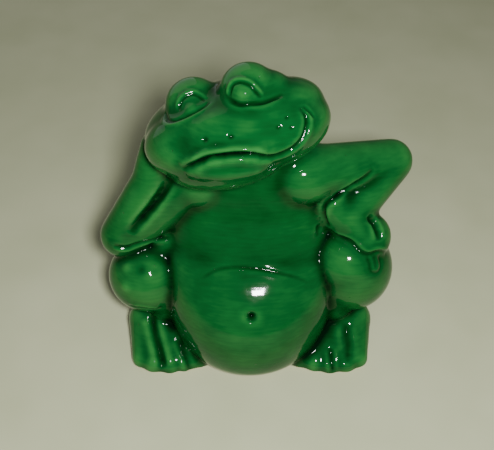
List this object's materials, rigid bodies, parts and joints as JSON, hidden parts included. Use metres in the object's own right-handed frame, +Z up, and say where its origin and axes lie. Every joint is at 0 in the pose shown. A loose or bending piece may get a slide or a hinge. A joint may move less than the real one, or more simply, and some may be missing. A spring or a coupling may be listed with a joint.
{
  "type": "ceramic frog figurine",
  "caption": "Seated frog figurine, hollow slip-cast clay body under a green glaze coat, one hand at its cheek, elbow out, round belly, open drain hole in the base.",
  "frame": {"origin": "on the table, under the middle of the figure's bounding box", "axes": "+Z up, the frog faces -Y, its left hand is on the +X side"},
  "size_m": [0.1236, 0.0814, 0.1302],
  "materials": {
    "bare_clay": "unglazed fired earthenware, off-white and matt",
    "green_glaze": "clear deep green lead-type gloss glaze, darker where it pools"
  },
  "bodies": {
    "root": {"clay_body": "bare_clay", "glaze_coat": "green_glaze"}
  },
  "joints": []
}
